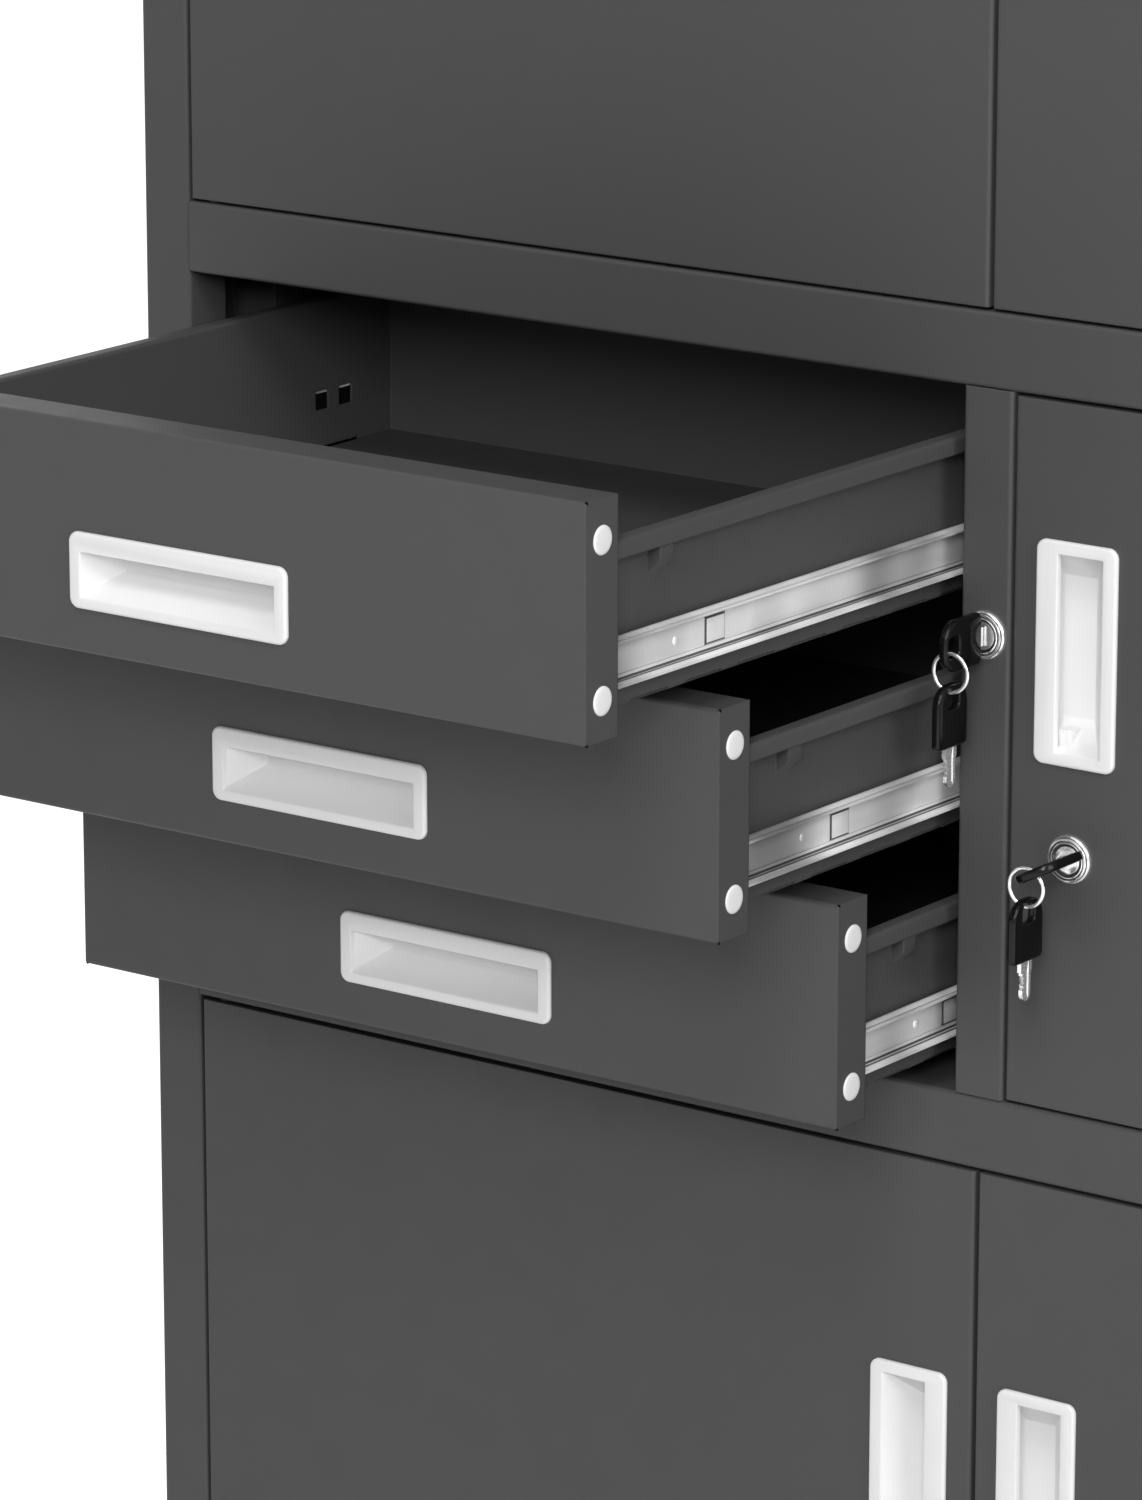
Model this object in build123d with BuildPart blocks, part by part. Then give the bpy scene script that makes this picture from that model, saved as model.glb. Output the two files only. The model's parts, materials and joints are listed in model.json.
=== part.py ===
from build123d import *
from math import cos, radians, sin, sqrt
import os

# Tall steel office cabinet: two doors above, three drawers and a small safe in the middle
# band, two doors below. Millimetres, +X to the right, +Y to the back, +Z up. The origin is on
# the floor at mid width, in the middle of the foot flange under the front of the base.

os.makedirs("parts", exist_ok=True)

# Cabinet shell
width = 900.0
depth = 400.0
height = 1850.0
sheet = 0.8
bend = 1.7
rail_return = 20.0
front_y = -rail_return / 2
back_y = front_y + depth
stile = 25.5
stile_return = 25.0
stile_lip = 10.0
back_flange = 18.0
rail = 32.0
rail_lip = 8.0
top_rail = 25.0
base_height = 50.0
lower_opening = 600.0
band_opening = 304.0
shelf_flange = 12.0
notch_gap = 0.5

# Post between the drawers and the safe, folded from the partition
post = 24.0
post_depth = 60.0
post_lip = 8.0

# Drawers
drawer_count = 3
front_gap = 3.4
front_side_gap = 3.2
front_depth = 21.0
front_lip = 10.0
pull_outs = [257.0, 168.0, 83.0]
slide_room = 12.7
tray_top_drop = 19.7
tray_bottom_drop = 89.0
tray_length = 364.0
hem_width = 7.2
hem_drop = 7.5
hem_setback = 3.0
lance_start = 53.0
lance_length = 9.0
lance_height = 12.0
lance_reach = 6.5
square_hole = 9.0
square_hole_back = 34.5
square_hole_pitch = 17.0
square_hole_drop = 66.0
cap_radius = 6.0
cap_sides = 20
cap_proud = 0.8
cap_edge = 16.5
cap_back = 10.8

# Ball bearing slides
slide_drop = 69.15
slide_length = 350.0
slide_start = 22.0
slide_travel = 265.0
slide_wall = 1.0
inner_height = 19.1
inner_reach = 8.0
outer_height = 35.0
outer_reach = 9.5
outer_lip = 3.0
cage_length = 80.0
cage_gap = 0.3
cage_bar = 5.0
cage_web = 0.8
cage_back_gap = 1.3

# Uprights that carry the slides on the cabinet's left side
upright_width = 30.0
upright_setback = 60.0
upright_pitch = 262.0
upright_foot = 12.0

# Doors
door_depth = 18.0
door_gap = 1.5
door_lip = 15.0
seam_gap = 2.0
stiffener_width = 40.0
stiffener_depth = 12.0
stiffener_foot = 10.0
pivot_edge = 10.0
pivot_back = 5.5
pin_radius = 2.5
pivot_hole_sides = 12
pin_gap = 0.05
pin_reach = 6.0

# Recessed handles
handle_width = 39.0
handle_length = 95.0
drawer_handle_width = 32.0
drawer_handle_length = 113.0
handle_corner = 4.5
handle_proud = 2.0
handle_wide_lip = 10.5
handle_narrow_lip = 6.5
handle_end_lip = 5.5
drawer_handle_wide_lip = 8.2
drawer_handle_narrow_lip = 4.6
drawer_handle_end_lip = 6.0
handle_cup_inset = 3.3
handle_cup_depth = 15.0
handle_wall = 1.3
handle_lip_wall = 3.4
handle_knee = 1.0
handle_end_slope = 12.0
handle_cut_gap = 0.3
handle_inset = 12.0
safe_handle_drop = 57.3
lower_handle_drop = 93.0
upper_handle_rise = 330.0
drawer_handle_drop = 62.0

# Locks
post_lock_drop = 103.9
safe_lock_drop = 192.9
safe_lock_inset = 30.1
bezel_radius = 10.4
bezel_proud = 3.0
barrel_radius = 8.5
barrel_flat = 6.8
barrel_length = 21.5
barrel_gap = 0.3
plug_radius = 6.0
plug_gap = 0.05
plug_recess = 0.6
plug_tail = 0.3
key_slot_length = 9.0
key_slot_width = 2.4
key_slot_depth = 19.0
cam_thick = 2.0
cam_width = 12.4
cam_tail = 7.0
cam_rim = 0.8
crank = 6.2
crank_angle = 45.0
crank_pin_radius = 1.5
crank_pin_length = 5.7
tongue_length = 34.0
tongue_width = 10.0
safe_key_angle = 63.0
tongue_slot_up = 20.0
tongue_slot_gap = 1.3

# Bar behind the post that locks all the drawers
bar_start = 27.0
bar_sheet = 1.5
bar_side_gap = 1.0
bar_wing = 9.6
finger_height = 6.0
finger_drop = 43.5
finger_reach = 8.5
bar_margin = 12.0
crank_slot_gap = 0.35
finger_slot_gap = 0.9

# Keys and rings
head_length = 27.0
head_width = 22.0
head_thick = 4.0
head_round = 9.0
head_exposed = 2.0
eye_length = 9.0
eye_width = 8.4
eye_inset = 6.4
blade_width = 8.0
blade_thick = 1.9
blade_inside = 17.0
blade_tip = 2.4
blade_spare = 17.0
ring_radius = 8.2
ring_wire = 0.8
ring_sides = 36
ring_play = 0.5

# Shelves
shelf_gap = 1.0
shelf_front = 45.0
shelf_drop = 20.0
shelf_return = 8.0
upper_shelf_rise = 400.0
lower_shelf_rise = 300.0
clip_length = 22.0
clip_height = 14.0
clip_reach = 12.0
clip_sheet = 1.2
clip_front = 70.0
clip_back = 330.0

# Levels and faces that follow from the sizes above
half = width / 2
opening_x = half - stile
back_in = back_y - 2 * sheet
lower_top = base_height + lower_opening
band_bottom = lower_top + rail
band_top = band_bottom + band_opening
upper_bottom = band_top + rail
top_under = height - top_rail
post_x = post / 2
door_back = front_y + door_depth
front_height = (band_opening - (drawer_count + 1) * front_gap) / drawer_count
front_left = -opening_x + front_side_gap
front_right = -post_x - front_side_gap
front_pitch = front_height + front_gap
tray_left = -opening_x + slide_room
tray_right = -post_x - slide_room
safe_left = post_x + door_gap
bearing_y = front_y + barrel_length + plug_tail
post_lock = (0.0, band_top - post_lock_drop)
safe_lock = (safe_left + safe_lock_inset, band_top - safe_lock_drop)
crank_x = crank * cos(radians(crank_angle))
crank_z = crank * sin(radians(crank_angle))
bar_rise = 2 * crank_z
bar_back = front_y + lance_start - notch_gap
head_root = front_y - bezel_proud - head_exposed
eye_y = head_root - head_length + eye_inset


def front_top(row):
    """Height of the top edge of a drawer front, counted from the top."""
    return band_top - front_gap - row * front_pitch


def at_y(y):
    """Plane facing the front at depth y, so an extrude goes towards the viewer."""
    return Plane.XZ.offset(-y)


def folded(plane, points, side=Side.LEFT, thick=sheet):
    """Section of a folded strip, with the line as the outside of the sheet."""
    with BuildSketch(plane) as section:
        with BuildLine():
            Polyline(*points)
            offset(amount=thick, kind=Kind.INTERSECTION, side=side)
        make_face()
    return section.sketch


def block(x0, x1, y0, y1, z0, z1, mode=Mode.ADD):
    """A box between two corners, joined to the piece in hand or cut out of it."""
    with Locations(((x0 + x1) / 2, (y0 + y1) / 2, (z0 + z1) / 2)):
        Box(x1 - x0, y1 - y0, z1 - z0, mode=mode)


def save(piece, name):
    """Labels a finished piece and writes it under its own name."""
    piece.label = name
    export_step(piece, f"parts/{name}.step")


# Shell


def side_panel():
    """Left side with its back flange and the boxed stile at the front."""
    stile_back = front_y + stile_return
    points = [
        (-half + back_flange, back_y),
        (-half, back_y),
        (-half, front_y),
        (-half + stile, front_y),
        (-half + stile, stile_back),
        (-half + stile - stile_lip, stile_back),
    ]
    with BuildPart() as panel:
        extrude(folded(Plane.XY, points), amount=height - sheet)
        fillet(panel.edges().filter_by(Axis.Z).group_by(Axis.Y)[0], radius=bend)
    return panel.part


def shelf_with_rail(level, drop, back_drop):
    """Fixed shelf whose front edge folds down into the rail between the stiles."""
    rail_foot = front_y + rail_return
    points = [
        (back_in - shelf_flange, level - back_drop),
        (back_in, level - back_drop),
        (back_in, level),
        (front_y, level),
        (front_y, level - drop),
        (rail_foot, level - drop),
        (rail_foot, level - drop + rail_lip),
    ]
    notch = front_y + stile_return + notch_gap
    with BuildPart() as shelf:
        extrude(folded(Plane.YZ.offset(-half + sheet), points), amount=width - 2 * sheet)
        fillet(shelf.edges().filter_by(Axis.X).group_by(Axis.Y)[0], radius=bend)
        for x0, x1 in ((-half, -opening_x), (opening_x, half)):
            block(x0, x1, front_y, notch, level - drop, level, mode=Mode.SUBTRACT)
    return shelf.part


def top_cover():
    """Top with a front fold that makes the top rail."""
    rail_foot = front_y + rail_return
    points = [
        (back_in, height - sheet - shelf_flange),
        (back_in, height - sheet),
        (front_y, height - sheet),
        (front_y, top_under),
        (rail_foot, top_under),
        (rail_foot, top_under + rail_lip),
    ]
    notch = front_y + stile_return + notch_gap
    with BuildPart() as cover:
        extrude(folded(Plane.YZ.offset(-half + sheet), points), amount=width - 2 * sheet)
        front_edges = cover.edges().filter_by(Axis.X).group_by(Axis.Y)[0]
        fillet(front_edges.sort_by(Axis.Z)[0], radius=bend)
        for x0, x1 in ((-half, -opening_x), (opening_x, half)):
            block(x0, x1, front_y, notch, top_under, height, mode=Mode.SUBTRACT)
        block(-half, half, front_y, back_y, height - sheet, height)
    return cover.part


def back_sheet():
    """Back between the side flanges and the shelves."""
    with BuildPart() as back:
        block(-half + bend, half - bend, back_in, back_in + sheet, 0, height - sheet)
    return back.part


def centre_post():
    """Partition whose front edge folds round into the hollow post."""
    wall_back = front_y + post_depth
    points = [
        (-post_x, back_in),
        (-post_x, front_y),
        (post_x, front_y),
        (post_x, wall_back),
        (post_x - post_lip, wall_back),
    ]
    under_rail = front_y + rail_return + notch_gap
    tall = band_opening + rail - sheet
    flange_front = back_in - shelf_flange - notch_gap
    flange_low = upper_bottom - shelf_flange - notch_gap
    tongue_front = bearing_y - tongue_slot_gap
    tongue_back = bearing_y + cam_thick + tongue_slot_gap
    tongue_low = safe_lock[1] - tongue_width / 2 - tongue_slot_gap
    tongue_high = safe_lock[1] + tongue_slot_up
    finger_front = bar_back - bar_sheet - finger_slot_gap
    finger_back = bar_back + finger_slot_gap
    cut = Mode.SUBTRACT
    with BuildPart() as upright:
        extrude(folded(Plane.XY.offset(band_bottom), points), amount=tall)
        fillet(upright.edges().filter_by(Axis.Z).group_by(Axis.Y)[0], radius=bend)
        block(-post, post, front_y, under_rail, band_top, band_bottom + tall, mode=cut)
        block(-post, post, flange_front, back_in, flange_low, upper_bottom, mode=cut)
        extrude(barrel_outline(post_lock, front_y + sheet, barrel_gap), amount=2 * sheet, mode=cut)
        for row in range(drawer_count):
            middle = front_top(row) - finger_drop
            low = middle - finger_height / 2 - finger_slot_gap
            high = middle + finger_height / 2 + bar_rise + finger_slot_gap
            block(-post_x - sheet, -post_x + 2 * sheet, finger_front, finger_back, low, high, cut)
        block(
            post_x - 2 * sheet,
            post_x + sheet,
            tongue_front,
            tongue_back,
            tongue_low,
            tongue_high,
            mode=cut,
        )
    return upright.part


def slide_uprights():
    """Two hat uprights on the left side that carry the slides."""
    inside = -half + sheet
    face = -opening_x
    with BuildPart() as uprights:
        for step in range(2):
            y0 = front_y + upright_setback + step * upright_pitch
            y1 = y0 + upright_width
            points = [
                (inside + sheet, y0 - upright_foot),
                (inside + sheet, y0),
                (face, y0),
                (face, y1),
                (inside + sheet, y1),
                (inside + sheet, y1 + upright_foot),
            ]
            extrude(
                folded(Plane.XY.offset(band_bottom), points),
                amount=band_opening + rail - sheet,
            )
    return uprights.part


def loose_shelf(level):
    """Adjustable shelf with folded front and back edges."""
    y0 = front_y + shelf_front
    y1 = back_in - shelf_gap
    points = [
        (y0 + shelf_return, level - shelf_drop),
        (y0, level - shelf_drop),
        (y0, level),
        (y1, level),
        (y1, level - shelf_drop),
        (y1 - shelf_return, level - shelf_drop),
    ]
    x0 = -half + sheet + shelf_gap
    with BuildPart() as shelf:
        extrude(folded(Plane.YZ.offset(x0), points, side=Side.RIGHT), amount=-2 * x0)
    return shelf.part


def clips(levels):
    """Angle clips under the ends of each loose shelf."""
    with BuildPart() as angles:
        for level in levels:
            under = level - sheet
            for y in (clip_front, clip_back):
                y0 = front_y + y
                wall = -half + sheet
                points = [
                    (wall, under - clip_height),
                    (wall, under),
                    (wall + clip_reach, under),
                ]
                angle = extrude(
                    folded(at_y(y0 + clip_length), points, Side.RIGHT, clip_sheet),
                    amount=clip_length,
                    mode=Mode.PRIVATE,
                )
                add(angle)
                mirror(angle, about=Plane.YZ)
    return angles.part


# Slides


def outer_members():
    """Cabinet members of the slides, two for each drawer."""
    wall = -post_x
    tall = outer_height / 2
    with BuildPart() as members:
        for row in range(drawer_count):
            z = front_top(row) - slide_drop
            points = [
                (wall - outer_reach, z + tall - outer_lip),
                (wall - outer_reach, z + tall),
                (wall, z + tall),
                (wall, z - tall),
                (wall - outer_reach, z - tall),
                (wall - outer_reach, z - tall + outer_lip),
            ]
            section = folded(
                at_y(front_y + slide_start + slide_length), points, Side.RIGHT, slide_wall
            )
            extrude(section, amount=slide_length)
        mirror(about=Plane.YZ.offset(-(opening_x + post_x) / 2))
    return members.part


def inner_members(row):
    """Drawer members of the slides, channels with rounded corners."""
    z = front_top(row) - slide_drop
    tall = inner_height / 2
    start = front_y + slide_start - pull_outs[row]
    points = [
        (tray_right + inner_reach, z + tall),
        (tray_right, z + tall),
        (tray_right, z - tall),
        (tray_right + inner_reach, z - tall),
    ]
    with BuildPart() as members:
        section = folded(at_y(start + slide_length), points, Side.LEFT, slide_wall)
        extrude(section, amount=slide_length)
        fillet(members.edges().filter_by(Axis.Y).group_by(Axis.X)[0], radius=bend)
        mirror(about=Plane.YZ.offset(-(opening_x + post_x) / 2))
    return members.part


def ball_cages(row):
    """Ball retainers that run between the members at half the drawer's pace."""
    z = front_top(row) - slide_drop
    low = inner_height / 2 + cage_gap
    high = outer_height / 2 - slide_wall - cage_gap
    web_x = -post_x - slide_wall - cage_back_gap
    bar_x = web_x - cage_web - cage_bar / 2
    closed = front_y + slide_start + (slide_travel + cage_length) / 2
    middle = closed - pull_outs[row] / 2 + cage_gap
    with BuildPart() as cages:
        with BuildSketch(at_y(middle + cage_length / 2)):
            with Locations((web_x - cage_web / 2, z)):
                Rectangle(cage_web, 2 * high)
            with Locations((bar_x, z + (low + high) / 2), (bar_x, z - (low + high) / 2)):
                Rectangle(cage_bar, high - low)
        extrude(amount=cage_length)
        mirror(about=Plane.YZ.offset(-(opening_x + post_x) / 2))
    return cages.part


# Drawers


def drawer_front(row):
    """Hollow front pan with folded sides and a cut-out for the handle."""
    top = front_top(row)
    face = front_y - pull_outs[row]
    back = face + front_depth
    middle = ((front_left + front_right) / 2, top - front_height / 2)
    long = front_right - front_left
    with BuildPart() as pan:
        with BuildSketch(at_y(back)):
            with Locations(middle):
                Rectangle(long, front_height)
        extrude(amount=front_depth)
        fillet(pan.edges().filter_by(Axis.X).group_by(Axis.Y)[0], radius=bend)
        with BuildSketch(at_y(back - sheet)):
            with Locations(middle):
                Rectangle(long - 2 * sheet, front_height - 2 * sheet)
        extrude(amount=front_depth - 2 * sheet, mode=Mode.SUBTRACT)
        with BuildSketch(at_y(back)):
            with Locations(middle):
                Rectangle(long - 2 * front_lip, front_height - 2 * front_lip)
        extrude(amount=front_depth / 2, mode=Mode.SUBTRACT)
        with BuildSketch(at_y(face + bend)):
            with Locations((middle[0], top - drawer_handle_drop)):
                Rectangle(
                    drawer_handle_length - 2 * handle_cup_inset + 2 * handle_cut_gap,
                    drawer_handle_width - 2 * handle_cup_inset + 2 * handle_cut_gap,
                )
        extrude(amount=2 * bend, mode=Mode.SUBTRACT)
    return pan.part


def cap_spots(row):
    """Depth and height of the two round caps on each side of a front."""
    y = front_y - pull_outs[row] + cap_back
    top = front_top(row)
    return [(y, top - cap_edge), (y, top - front_height + cap_edge)]


def drawer_caps(row):
    """Round caps over the screws in the sides of the front."""
    with BuildPart() as caps:
        with BuildSketch(Plane.YZ.offset(front_right)):
            with Locations(*cap_spots(row)):
                RegularPolygon(cap_radius, cap_sides)
        extrude(amount=cap_proud)
        mirror(about=Plane.YZ.offset((front_left + front_right) / 2))
    return caps.part


def drawer_tray(row):
    """Open tray: floor, sides with an outward hem, front and back walls, lock tab."""
    top = front_top(row) - tray_top_drop
    bottom = front_top(row) - tray_bottom_drop
    start = front_y - pull_outs[row] + front_depth
    reach = hem_width - sheet
    points = [
        (tray_right + reach, top - hem_drop),
        (tray_right + reach, top - sheet),
        (tray_right, top - sheet),
        (tray_right, bottom),
        (tray_left, bottom),
        (tray_left, top - sheet),
        (tray_left - reach, top - sheet),
        (tray_left - reach, top - hem_drop),
    ]
    hole_z = front_top(row) - square_hole_drop
    hole_y = start + tray_length - square_hole_back
    lance_y = front_y - pull_outs[row] + lance_start
    cut = Mode.SUBTRACT
    with BuildPart() as tray:
        extrude(folded(at_y(start + tray_length), points, Side.RIGHT), amount=tray_length)
        levels = tray.edges().filter_by(Axis.Y).group_by(Axis.Z)
        fillet(levels[0] + levels[-1], radius=bend)
        for y in (start, start + tray_length - sheet):
            block(tray_left + sheet, tray_right - sheet, y, y + sheet, bottom + sheet, top)
        for x0 in (tray_right, tray_left - hem_width):
            block(x0, x0 + hem_width, start, start + hem_setback, top - hem_drop, top, cut)
        with BuildSketch(at_y(lance_y + lance_length)):
            with BuildLine():
                Polyline(
                    (tray_right, top - hem_drop),
                    (tray_right + lance_reach, top - hem_drop),
                    (tray_right + lance_reach, top - hem_drop - lance_height / 2),
                    (tray_right, top - hem_drop - lance_height),
                    close=True,
                )
            make_face()
        extrude(amount=lance_length)
        with BuildSketch(Plane.YZ.offset(tray_left - sheet)):
            with Locations((hole_y, hole_z), (hole_y - square_hole_pitch, hole_z)):
                Rectangle(square_hole, square_hole)
        extrude(amount=3 * sheet, mode=cut)
    return tray.part


# Handles


def trough(plane, profile, long, depth):
    """Solid with the given cross profile, its ends sloping in towards the back."""
    end = long / 2
    back = end - handle_end_slope
    outline = [(-handle_proud - 1, end), (0, end), (depth, back)]
    mirrored = [(x, -y) for x, y in reversed(outline)]
    with BuildPart() as body:
        with BuildSketch(plane):
            with BuildLine():
                Polyline(*profile, close=True)
            make_face()
        extrude(amount=end, both=True)
        with BuildSketch(Plane(plane.origin, x_dir=plane.x_dir, z_dir=plane.y_dir)):
            with BuildLine():
                Polyline(*outline, *mirrored, close=True)
            make_face()
        extrude(amount=end, both=True, mode=Mode.INTERSECT)
    return body.part


def handle(plane, across, along, lips):
    """Recessed pull. The plane's X goes into the door, its Y towards the wide lip."""
    wide_lip, narrow_lip, end_lip = lips
    cup = across / 2 - handle_cup_inset
    wide = across / 2 - wide_lip
    narrow = across / 2 - narrow_lip
    finger = cup - handle_wall
    deep = handle_cup_depth - handle_wall
    lip_back = handle_lip_wall - handle_proud
    shell = [
        (0, cup),
        (handle_cup_depth, cup),
        (handle_cup_depth, -handle_knee - handle_wall),
        (0, -cup),
    ]
    hollow = [
        (-handle_proud - 1, wide),
        (lip_back, wide),
        (lip_back, finger),
        (deep, finger),
        (deep, -handle_knee),
        (-handle_proud, -narrow),
        (-handle_proud - 1, -narrow),
    ]
    cup_body = trough(plane, shell, along - 2 * handle_cup_inset, handle_cup_depth)
    cup_space = trough(plane, hollow, along - 2 * end_lip, deep)
    with BuildPart() as pull:
        with BuildSketch(Plane(plane.origin, x_dir=plane.z_dir, z_dir=-plane.x_dir)):
            RectangleRounded(along, across, handle_corner)
        extrude(amount=handle_proud)
        add(cup_body)
        add(cup_space, mode=Mode.SUBTRACT)
    return pull.part


def handle_spot(door):
    """Middle of a door's handle, near the free edge."""
    x0, x1, z0, z1, hinge, drop, lock = door
    free = x1 if hinge < 0 else x0
    return (free + hinge * (handle_inset + handle_width / 2), z1 - drop - handle_length / 2)


def door_handle(door):
    """Upright pull of a door, its wide lip towards the free edge."""
    x, z = handle_spot(door)
    plane = Plane((x, front_y, z), x_dir=(0, 1, 0), z_dir=(0, 0, door[4]))
    lips = (handle_wide_lip, handle_narrow_lip, handle_end_lip)
    return handle(plane, handle_width, handle_length, lips)


def drawer_handle(row):
    """Level pull in a drawer front, its wide lip on top."""
    middle = (front_left + front_right) / 2
    origin = (middle, front_y - pull_outs[row], front_top(row) - drawer_handle_drop)
    plane = Plane(origin, x_dir=(0, 1, 0), z_dir=(1, 0, 0))
    lips = (drawer_handle_wide_lip, drawer_handle_narrow_lip, drawer_handle_end_lip)
    return handle(plane, drawer_handle_width, drawer_handle_length, lips)


# Doors. Each is its edges, the side of its hinge, how far down its handle starts, its lock

door_left = -opening_x + door_gap
door_right = opening_x - door_gap
upper_low = upper_bottom + door_gap
upper_high = top_under - door_gap
upper_drop = upper_high - upper_low - upper_handle_rise - handle_length
doors = {
    "door_upper_left": (door_left, -seam_gap / 2, upper_low, upper_high, -1, upper_drop, None),
    "door_upper_right": (seam_gap / 2, door_right, upper_low, upper_high, 1, upper_drop, None),
    "door_lower_left": (
        door_left,
        -seam_gap / 2,
        base_height + door_gap,
        lower_top - door_gap,
        -1,
        lower_handle_drop,
        None,
    ),
    "door_lower_right": (
        seam_gap / 2,
        door_right,
        base_height + door_gap,
        lower_top - door_gap,
        1,
        lower_handle_drop,
        None,
    ),
    "door_safe": (
        safe_left,
        door_right,
        band_bottom + door_gap,
        band_top - door_gap,
        1,
        safe_handle_drop,
        safe_lock,
    ),
}


def pivot_spot(door):
    """Place of a door's pivots, near its hinge edge."""
    x0, x1, z0, z1, hinge, drop, lock = door
    edge = x0 if hinge < 0 else x1
    return (edge - hinge * pivot_edge, front_y + pivot_back)


def door_pan(door):
    """Hollow door pan with an inner hat stiffener, pivot holes and cut-outs."""
    x0, x1, z0, z1, hinge, drop, lock = door
    middle = ((x0 + x1) / 2, (z0 + z1) / 2)
    wide = x1 - x0
    tall = z1 - z0
    hat_foot = front_y + 2 * sheet
    hat_face = front_y + sheet + stiffener_depth
    hat_left = middle[0] - stiffener_width / 2
    hat_right = middle[0] + stiffener_width / 2
    hat = [
        (hat_left - stiffener_foot, hat_foot),
        (hat_left, hat_foot),
        (hat_left, hat_face),
        (hat_right, hat_face),
        (hat_right, hat_foot),
        (hat_right + stiffener_foot, hat_foot),
    ]
    with BuildPart() as pan:
        with BuildSketch(at_y(door_back)):
            with Locations(middle):
                Rectangle(wide, tall)
        extrude(amount=door_depth)
        fillet(pan.edges().filter_by(Axis.Z).group_by(Axis.Y)[0], radius=bend)
        with BuildSketch(at_y(door_back - sheet)):
            with Locations(middle):
                Rectangle(wide - 2 * sheet, tall - 2 * sheet)
        extrude(amount=door_depth - 2 * sheet, mode=Mode.SUBTRACT)
        with BuildSketch(at_y(door_back)):
            with Locations(middle):
                Rectangle(wide - 2 * door_lip, tall - 2 * door_lip)
        extrude(amount=door_depth / 2, mode=Mode.SUBTRACT)
        extrude(folded(Plane.XY.offset(z0 + sheet), hat, Side.RIGHT), amount=tall - 2 * sheet)
        with BuildSketch(Plane.XY.offset(z0 - sheet)):
            with Locations(pivot_spot(door)):
                RegularPolygon(pin_radius + pin_gap, pivot_hole_sides, major_radius=False)
        extrude(amount=tall + 2 * sheet, mode=Mode.SUBTRACT)
        with BuildSketch(at_y(front_y + 2 * sheet)):
            with Locations(handle_spot(door)):
                Rectangle(
                    handle_width - 2 * handle_cup_inset + 2 * handle_cut_gap,
                    handle_length - 2 * handle_cup_inset + 2 * handle_cut_gap,
                )
        extrude(amount=3 * sheet, mode=Mode.SUBTRACT)
        if lock:
            hole = barrel_outline(lock, front_y + 2 * sheet, barrel_gap)
            extrude(hole, amount=3 * sheet, mode=Mode.SUBTRACT)
    return pan.part


def hinge_pins():
    """Round pivot pins on the rails above and below each door."""
    with BuildPart() as pins:
        for door in doors.values():
            low, high = door[2] - door_gap, door[3] + door_gap
            for level in (low, high - pin_reach):
                with BuildSketch(Plane.XY.offset(level)):
                    with Locations(pivot_spot(door)):
                        Circle(pin_radius)
                extrude(amount=pin_reach)
    return pins.part


# Locks, keys and rings


def barrel_outline(spot, y, gap=0.0):
    """Round barrel with two flats that keep it from turning in its hole."""
    with BuildSketch(at_y(y)) as outline:
        with Locations(spot):
            Circle(barrel_radius + gap)
            Rectangle(2 * (barrel_radius + gap), 2 * (barrel_flat + gap), mode=Mode.INTERSECT)
    return outline.sketch


def lock_housing(spot):
    """Round bezel and flatted barrel with a bore for the plug."""
    with BuildPart() as housing:
        with BuildSketch(at_y(front_y)):
            with Locations(spot):
                Circle(bezel_radius)
        extrude(amount=bezel_proud)
        extrude(barrel_outline(spot, front_y + barrel_length), amount=barrel_length)
        with BuildSketch(at_y(front_y + barrel_length)):
            with Locations(spot):
                Circle(plug_radius + plug_gap)
        extrude(amount=barrel_length + bezel_proud, mode=Mode.SUBTRACT)
    return housing.part


def lock_plug(spot, angle):
    """Turning plug with its key slot, as long as the barrel."""
    with BuildPart() as plug:
        with BuildSketch(at_y(bearing_y)):
            with Locations(spot):
                Circle(plug_radius)
        extrude(amount=bearing_y - front_y + bezel_proud - plug_recess)
        with BuildSketch(at_y(front_y + key_slot_depth - bezel_proud)):
            with Locations(spot):
                Rectangle(key_slot_length, key_slot_width, rotation=angle)
        extrude(amount=key_slot_depth, mode=Mode.SUBTRACT)
    return plug.part


def post_cam():
    """Short arm behind the post lock, with the crank pin that lifts the bar."""
    pin = (post_lock[0] + crank_x, post_lock[1] - crank_z)
    reach = crank + crank_pin_radius + cam_rim
    with BuildPart() as cam:
        with BuildSketch(at_y(bearing_y + cam_thick)):
            with Locations(post_lock):
                with PolarLocations((reach - cam_tail) / 2, 1, start_angle=-crank_angle):
                    Rectangle(reach + cam_tail, cam_width)
        extrude(amount=cam_thick)
        with BuildSketch(at_y(bearing_y + cam_thick + crank_pin_length)):
            with Locations(pin):
                Circle(crank_pin_radius)
        extrude(amount=crank_pin_length)
    return cam.part


def safe_cam():
    """Tongue on the safe lock, turned away from the post."""
    angle = 180 - safe_key_angle
    with BuildPart() as cam:
        with BuildSketch(at_y(bearing_y + cam_thick)):
            with Locations(safe_lock):
                with PolarLocations((tongue_length - cam_tail) / 2, 1, start_angle=angle):
                    Rectangle(tongue_length + cam_tail, tongue_width)
        extrude(amount=cam_thick)
    return cam.part


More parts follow.
